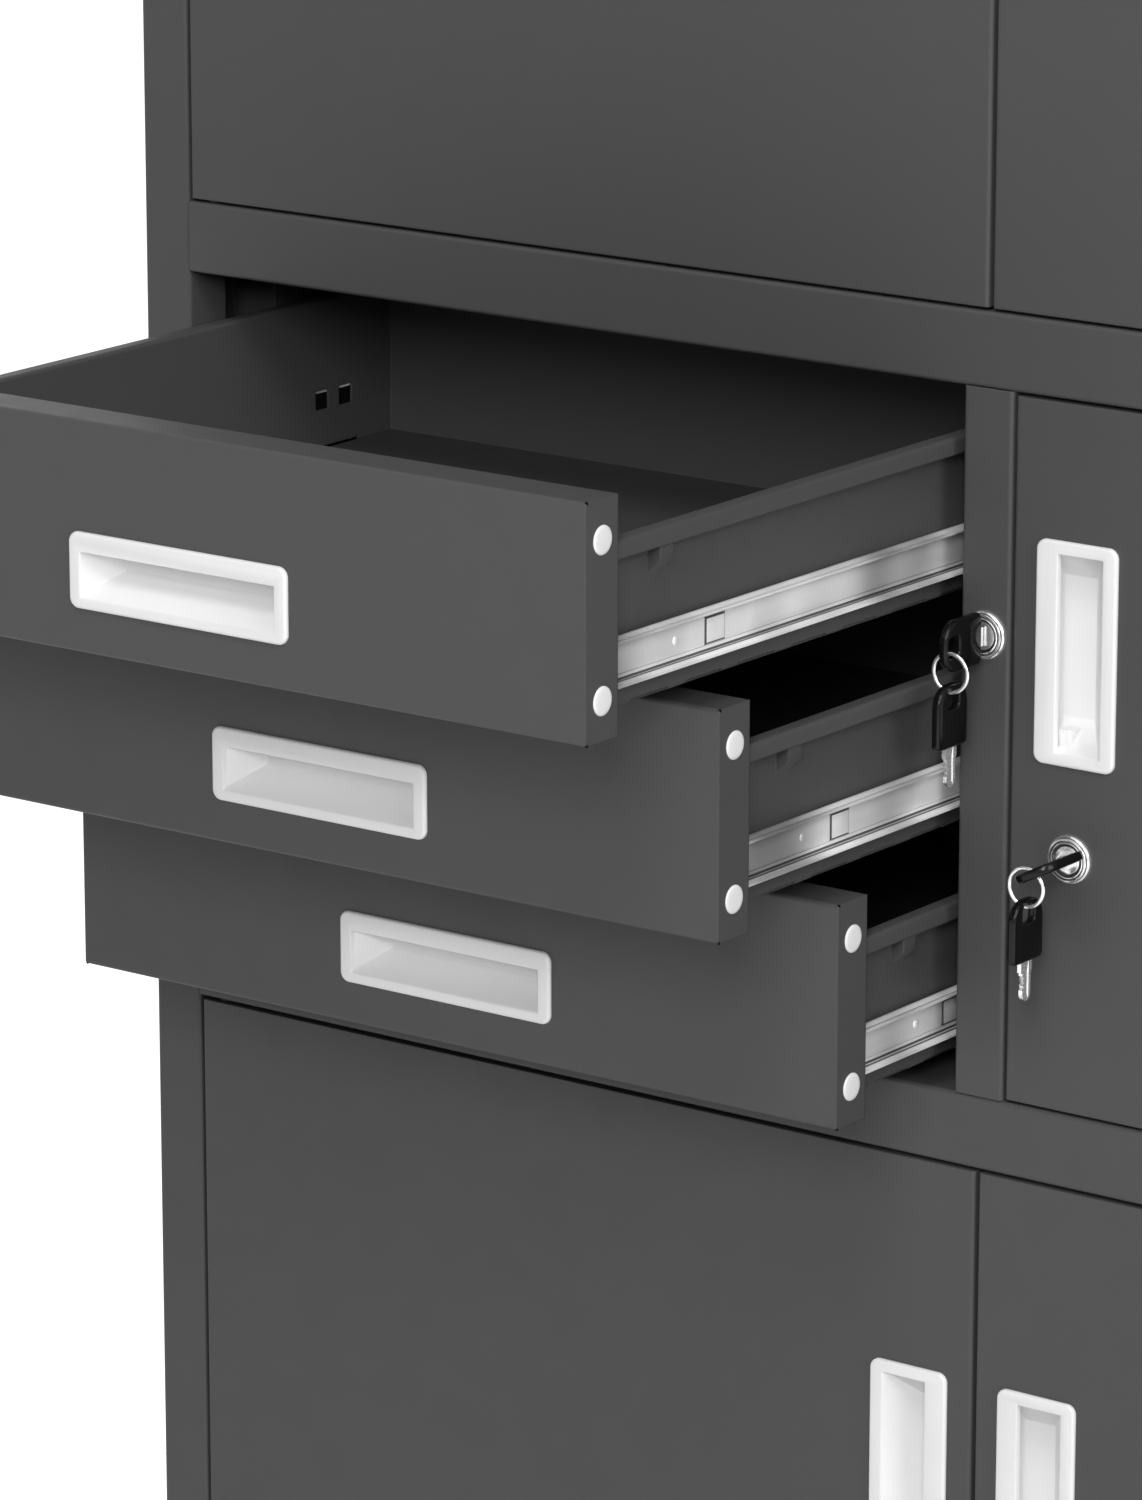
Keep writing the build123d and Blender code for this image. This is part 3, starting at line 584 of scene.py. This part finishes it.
def turned_housing(node):
    """Lock bezel with ring grooves and a dished face, both darkened with painted shade, and the
    flatted barrel.
    """
    low, high = [Vector(v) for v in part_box(node)]
    face = low.y + BEZEL_PROUD
    centre = Vector(((low.x + high.x) / 2, face, (low.z + high.z) / 2))
    bm = bmesh.new()
    lathe(bm, centre, (0, -1, 0), BEZEL, 96, True)
    near, far = 0.05 * MM, high.y - face
    rings = []
    for deep, inner in ((near, False), (far, False), (far, True), (near, True)):
        ring = []
        for i in range(BARREL_STEPS):
            turn = 2 * math.pi * i / BARREL_STEPS
            flat = BARREL_FLAT / max(abs(math.sin(turn)), 0.01)
            r = BARREL_BORE if inner else min(BARREL_RADIUS, flat)
            ring.append(centre + Vector((math.cos(turn) * r * MM, deep, math.sin(turn) * r * MM)))
        rings.append(ring)
    loft(bm, rings, True)
    turned = new_piece(node + "_turned", bm, node, crease=28.0)

    # Faces in the ring grooves, at the step and in the dish get the dark chrome as painted shade.
    def in_painted_shade(spot, normal):
        off = math.hypot(spot.x - centre.x, spot.z - centre.z) / MM
        ahead = (centre.y - spot.y) / MM
        return ahead > 0.2 and (7.75 < off < 8.3 or off < 6.9 or 9.45 < off < 9.65)

    shade_faces(turned, "chrome_painted_shade", in_painted_shade)


def turned_plug(node):
    """Plug with a softened rim and key slot."""
    bm = tidy_copy(node)
    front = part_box(node)[0][1]
    ahead = sharp_edges(bm, lambda e: all(abs(v.co.y - front) < 0.02 * MM for v in e.verts))
    round_off(bm, ahead, 0.3 * MM, 2)
    new_piece(node + "_turned", bm, node, crease=30.0)


# Drawers


CAP_RADIUS = 6.0 * MM
CAP_PROUD = 0.8 * MM
CAP_CROWN = ((0.0, 0.8), (3.0, 0.79), (4.6, 0.72), (5.4, 0.58), (5.85, 0.32), (6.0, 0.0), (0.0, 0.0))


def domed_caps(node):
    """Screw caps, slightly crowned."""
    low, high = [Vector(v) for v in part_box(node)]
    y = (low.y + high.y) / 2
    bm = bmesh.new()
    for z in (low.z + CAP_RADIUS, high.z - CAP_RADIUS):
        for x, way in ((low.x + CAP_PROUD, -1), (high.x - CAP_PROUD, 1)):
            lathe(bm, (x, y, z), (way, 0, 0), CAP_CROWN, 40)
    new_piece(node + "_domed", bm, node, crease=40.0)


# Half of a slide's section, from the tip of the flange to the upper edge of the web:
# reach from the tray's side and height from the middle, in millimetres
SLIDE_LINE = (
    (7.75, 8.9),
    (7.0, 9.05),
    (6.2, 8.75),
    (5.3, 8.15),
    (4.3, 8.1),
    (3.3, 8.6),
    (2.4, 9.05),
    (1.4, 9.0),
    (0.75, 8.55),
    (0.5, 7.8),
    (0.5, 6.4),
    (0.7, 6.0),
    (1.1, 5.7),
    (1.3, 5.2),
)
STRIP_HALF = 0.48
SLIDE_DEEP = 8.0 * MM
WEB_REACH = 1.75 * MM
DIMPLE_BACK = 48.0 * MM
DIMPLE = ((0.0, 0.75), (0.9, 0.68), (1.7, 0.4), (2.2, 0.0), (0.0, -0.1))


def slide_section():
    """Closed outline of the rolled strip, almost a millimetre thick."""
    line = list(SLIDE_LINE) + [(u, -v) for u, v in reversed(SLIDE_LINE)]
    left, right = [], []
    for i, (u, v) in enumerate(line):
        before = line[max(i - 1, 0)]
        after = line[min(i + 1, len(line) - 1)]
        du, dv = after[0] - before[0], after[1] - before[1]
        long = math.hypot(du, dv)
        left.append((u - dv / long * STRIP_HALF, v + du / long * STRIP_HALF))
        right.append((u + dv / long * STRIP_HALF, v - du / long * STRIP_HALF))
    return left + right[::-1]


# The lug on a slide's web: from the front end to its two edges, half its height, the rim
# round it, and how far the lug, the rim and their roots stand out of or into the web
LUG_NEAR = 68.2 * MM
LUG_FAR = 80.4 * MM
LUG_HALF = 4.9 * MM
LUG_RIM = 0.8 * MM
LUG_RISE = 0.6 * MM
RIM_RISE = 0.1 * MM
LUG_ROOT = 0.1 * MM


def lug_slab(bm, web, way, low, level, rim, rise):
    """Block on the web, grown by a rim."""
    x0, x1 = sorted((web - way * LUG_ROOT, web + way * rise))
    near = (x0, low.y + LUG_NEAR - rim, level - LUG_HALF - rim)
    far = (x1, low.y + LUG_FAR + rim, level + LUG_HALF + rim)
    return slab(bm, near, far)


def rolled_slides(node):
    """Drawer members with ball grooves, a stepped web, a dimple and a lug."""
    low, high = [Vector(v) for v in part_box(node)]
    level = (low.z + high.z) / 2
    section = slide_section()
    bm = bmesh.new()
    roots = ((high.x - SLIDE_DEEP, 1), (low.x + SLIDE_DEEP, -1))
    for root, way in roots:
        rings = []
        for y in (low.y, high.y):
            rings.append([Vector((root + way * u * MM, y, level + v * MM)) for u, v in section])
        loft(bm, rings)
        web = root + way * WEB_REACH
        lathe(bm, (web, low.y + DIMPLE_BACK, level), (way, 0, 0), DIMPLE, 24)
        lug_slab(bm, web, way, low, level, LUG_RIM, RIM_RISE)
        verts = lug_slab(bm, web, way, low, level, 0.0, LUG_RISE)
        round_off(bm, edges_of(verts), 0.15 * MM, 2)
    rolled = new_piece(node + "_rolled", bm, node, crease=25.0)

    # Faces in the ball grooves, on the folds, at the web's step and round the lug get painted shade.
    def in_painted_shade(spot, normal):
        root, way = roots[0] if spot.x > (low.x + high.x) / 2 else roots[1]
        reach = way * (spot.x - root) / MM
        off = abs(spot.z - level) / MM
        back = spot.y - low.y
        margin = LUG_RIM + 0.01 * MM
        if LUG_NEAR - margin < back < LUG_FAR + margin:
            return reach < 2.0 or abs(normal.x) < 0.5
        ball_line = off > 7.4 and 4.4 < reach < 5.3
        fold_line = off > 7.9 and reach < 1.6
        step_line = 5.6 < off < 6.3 and reach < 2.0
        return ball_line or fold_line or step_line

    shade_faces(rolled, "zinc_painted_shade", in_painted_shade)


# A tray's hems, and the slots along its floor's folds: from the front end to the first, their
# pitch, length and number, and how far the cut goes past the fold on all sides
TRAY_HEM = 7.2 * MM
SLOT_FIRST = 22.0 * MM
SLOT_PITCH = 36.4 * MM
SLOT_LONG = 25.0 * MM
SLOT_COUNT = 9
SLOT_PAST = 0.4 * MM
SLOT_WIDE = 1.6 * MM
SLOT_TALL = 1.5 * MM


def slotted_tray(node):
    """Tray with the long slots along the folds of its floor cut out."""
    low, high = [Vector(v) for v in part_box(node)]
    cutter = bmesh.new()
    for x0, x1 in (
        (low.x + TRAY_HEM - SLOT_PAST, low.x + TRAY_HEM + SLOT_WIDE),
        (high.x - TRAY_HEM - SLOT_WIDE, high.x - TRAY_HEM + SLOT_PAST),
    ):
        for step in range(SLOT_COUNT):
            y = low.y + SLOT_FIRST + SLOT_PITCH * step
            slab(cutter, (x0, y, low.z - SLOT_PAST), (x1, y + SLOT_LONG, low.z + SLOT_TALL))
    pair = []
    for bm, name in ((tidy_copy(node), "blank"), (cutter, "cutter")):
        mesh = bpy.data.meshes.new(name)
        bm.to_mesh(mesh)
        bm.free()
        obj = bpy.data.objects.new(name, mesh)
        bpy.context.scene.collection.objects.link(obj)
        pair.append(obj)
    blank, tool = pair
    cut = blank.modifiers.new("slots", "BOOLEAN")
    cut.operation = "DIFFERENCE"
    cut.solver = "EXACT"
    cut.object = tool
    bpy.context.view_layer.update()
    graph = bpy.context.evaluated_depsgraph_get()
    result = bpy.data.meshes.new_from_object(blank.evaluated_get(graph))
    for obj in pair:
        bpy.data.objects.remove(obj)
    bm = bmesh.new()
    bm.from_mesh(result)
    new_piece(node + "_slotted", bm, node, crease=30.0)


# Strips of painted shade behind a tray's square holes: from the back to their middles,
# height, half a side, thickness and gap to the tray
HOLE_BACKS = (34.5 * MM, 51.5 * MM)
HOLE_RISE = 23.0 * MM
HOLE_HALF = 5.5 * MM
STRIP_THICK = 0.3 * MM
STRIP_GAP = 0.1 * MM


def hole_shade_strips(node):
    """Thin strips of painted shade behind the square holes, in the gap before the slides."""
    low, high = [Vector(v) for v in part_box(node)]
    bm = bmesh.new()
    left = low.x + TRAY_HEM - STRIP_GAP - STRIP_THICK
    for x in (left, high.x - TRAY_HEM + STRIP_GAP):
        for back in HOLE_BACKS:
            y = high.y - back
            z = low.z + HOLE_RISE
            near = (x, y - HOLE_HALF, z - HOLE_HALF)
            slab(bm, near, (x + STRIP_THICK, y + HOLE_HALF, z + HOLE_HALF))
    new_piece(node + "_hole_shade_strips", bm, node, look="painted_hole_shade", replaced=False)


# Relief dots of painted shade: how far in from a front's sides, ends and face, and their section
RELIEF_SIDE = 0.35 * MM
RELIEF_END = 0.5 * MM
RELIEF_BACK = 0.9 * MM
RELIEF_BEAD = ((0.0, 0.55), (0.45, 0.45), (0.75, 0.1), (0.75, -0.2), (0.0, -0.4))


def relief_shade_dots(node):
    """Small beads of painted shade where the front's folds meet, which look like relief holes."""
    low, high = [Vector(v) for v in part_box(node)]
    bm = bmesh.new()
    for x in (low.x + RELIEF_SIDE, high.x - RELIEF_SIDE):
        for z in (low.z + RELIEF_END, high.z - RELIEF_END):
            lathe(bm, (x, low.y + RELIEF_BACK, z), (0, -1, 0), RELIEF_BEAD, 16)
    new_piece(node + "_relief_shades", bm, node, look="painted_hole_shade", crease=60.0, replaced=False)


for side in ("upper_left", "lower_left"):
    moulded_handle("handle_" + side, 1)
for side in ("upper_right", "lower_right", "safe"):
    moulded_handle("handle_" + side, -1)
for lock in ("post", "safe"):
    moulded_head(lock + "_key_head", (0, -1, 0))
    moulded_head(lock + "_spare_head", (0, 0, 1))
    split_ring(lock + "_key_ring")
    cut_blade(lock + "_spare_blade")
    turned_housing(lock + "_lock_housing")
    turned_plug(lock + "_lock_plug")
for number in ("1", "2", "3"):
    drawer = "drawer_" + number
    moulded_handle(drawer + "_handle", 0)
    domed_caps(drawer + "_caps")
    rolled_slides(drawer + "_slide_members")
    slotted_tray(drawer + "_tray")
    hole_shade_strips(drawer + "_tray")
    relief_shade_dots(drawer + "_front")


# Floor, light and camera

# The floor glows more from so far out, in metres, so that the distance is pure white
FLOOR_NEAR = 0.75
FLOOR_FAR = 1.4
FLOOR_LIFT_NEAR = 0.35
FLOOR_LIFT_FAR = 0.95
FLOOR_REACH = 12.0
FLOOR_TONE = 0.86
FILL_STRENGTH = 0.24

# Lamps: place and target in metres, side in metres and power in watts
LAMPS = (
    ("key_light", (1.9, -3.4, 2.6), (0.0, 0.0, 0.95), 1.2, 84.0),
    ("top_light", (1.0, -2.2, 3.9), (0.0, 0.0, 0.95), 1.2, 46.0),
    ("right_light", (3.4, -1.0, 2.4), (0.0, 0.0, 0.9), 1.6, 45.0),
)

def seen_rays(tree, path):
    """One for rays of the camera, of reflections and through glass, otherwise nought."""
    total = path.outputs["Is Camera Ray"]
    for kind in ("Is Glossy Ray", "Is Transmission Ray"):
        node = tree.nodes.new("ShaderNodeMath")
        node.operation = "MAXIMUM"
        tree.links.new(total, node.inputs[0])
        tree.links.new(path.outputs[kind], node.inputs[1])
        total = node.outputs["Value"]
    return total


def stage_material(name, tone):
    """Pale matt surface, white to the camera, that keeps the shadow round the base."""
    mat, tree, shader = new_material(name)
    away = tree.nodes.new("ShaderNodeVectorMath")
    away.operation = "LENGTH"
    tree.links.new(position(tree), away.inputs[0])
    lift = tree.nodes.new("ShaderNodeMapRange")
    lift.inputs["From Min"].default_value = FLOOR_NEAR
    lift.inputs["From Max"].default_value = FLOOR_FAR
    lift.inputs["To Min"].default_value = FLOOR_LIFT_NEAR
    lift.inputs["To Max"].default_value = FLOOR_LIFT_FAR
    tree.links.new(away.outputs["Value"], lift.inputs["Value"])
    path = tree.nodes.new("ShaderNodeLightPath")
    glow = tree.nodes.new("ShaderNodeMath")
    glow.operation = "MULTIPLY"
    tree.links.new(seen_rays(tree, path), glow.inputs[0])
    tree.links.new(lift.outputs["Result"], glow.inputs[1])
    shader.inputs["Emission Color"].default_value = (1, 1, 1, 1)
    tree.links.new(glow.outputs["Value"], shader.inputs["Emission Strength"])
    spot = position(tree)
    colour = grey_mix(tree, noise(tree, spot, 2.0), tone * 0.97, tone)
    tree.links.new(colour, shader.inputs["Base Color"])
    shader.inputs["Roughness"].default_value = 0.9
    shader.inputs["Specular IOR Level"].default_value = 0.1
    return mat


def make_floor():
    """Wide pale floor under the cabinet."""
    mesh = bpy.data.meshes.new("floor")
    far = FLOOR_REACH
    corners = [(-far, -far, 0), (far, -far, 0), (far, far, 0), (-far, far, 0)]
    mesh.from_pydata(corners, [], [(0, 1, 2, 3)])
    obj = bpy.data.objects.new("floor", mesh)
    bpy.context.scene.collection.objects.link(obj)
    mesh.materials.append(stage_material("floor_paint", FLOOR_TONE))


def make_world():
    """White for what the camera and reflections see, a soft even light for the rest."""
    world = bpy.data.worlds.new("studio")
    bpy.context.scene.world = world
    world.use_nodes = True
    tree = world.node_tree
    tree.nodes.clear()
    path = tree.nodes.new("ShaderNodeLightPath")
    seen = tree.nodes.new("ShaderNodeBackground")
    seen.inputs["Color"].default_value = (1, 1, 1, 1)
    seen.inputs["Strength"].default_value = 1.0
    fill = tree.nodes.new("ShaderNodeBackground")
    fill.inputs["Color"].default_value = (1, 1, 1, 1)
    fill.inputs["Strength"].default_value = FILL_STRENGTH
    mix = tree.nodes.new("ShaderNodeMixShader")
    out = tree.nodes.new("ShaderNodeOutputWorld")
    tree.links.new(seen_rays(tree, path), mix.inputs["Fac"])
    tree.links.new(fill.outputs["Background"], mix.inputs[1])
    tree.links.new(seen.outputs["Background"], mix.inputs[2])
    tree.links.new(mix.outputs["Shader"], out.inputs["Surface"])


def area_light(name, spot, target, side, power):
    """Large soft lamp aimed at a point."""
    data = bpy.data.lights.new(name, "AREA")
    data.shape = "SQUARE"
    data.size = side
    data.energy = power
    lamp = bpy.data.objects.new(name, data)
    bpy.context.scene.collection.objects.link(lamp)
    lamp.location = spot
    aim = Vector(target) - Vector(spot)
    lamp.rotation_mode = "QUATERNION"
    lamp.rotation_quaternion = aim.to_track_quat("-Z", "Y")


# An unshifted camera, in metres and degrees, fitted to the picture of the shifted one that fits
# the photograph's edges. It departs from that picture by 9 of the photograph's pixels on
# average and by 33 at most, so upright edges lean.
CAMERA_SPOT = (1.513, -2.334, 1.565)
CAMERA_AZIMUTH = 36.602
CAMERA_PITCH = -14.816
PHOTO_TALL = 1500.0
SENSOR = 36.0
FOCAL_PIXELS = 6896.7


def make_camera():
    """Camera from about the photograph's angle, 0.8 m further off."""
    data = bpy.data.cameras.new("camera")
    camera = bpy.data.objects.new("camera", data)
    bpy.context.scene.collection.objects.link(camera)
    data.sensor_fit = "AUTO"
    data.sensor_width = SENSOR
    data.lens = FOCAL_PIXELS / PHOTO_TALL * SENSOR
    data.clip_start = 0.05
    data.clip_end = 60.0
    turn = math.radians(CAMERA_AZIMUTH)
    pitch = math.radians(CAMERA_PITCH)
    level = math.cos(pitch)
    ahead = Vector((-math.sin(turn) * level, math.cos(turn) * level, math.sin(pitch)))
    camera.location = CAMERA_SPOT
    camera.rotation_mode = "QUATERNION"
    camera.rotation_quaternion = ahead.to_track_quat("-Z", "Y")
    bpy.context.scene.camera = camera


make_floor()
make_world()
for lamp in LAMPS:
    area_light(*lamp)
make_camera()
bpy.context.scene.view_settings.view_transform = "Standard"
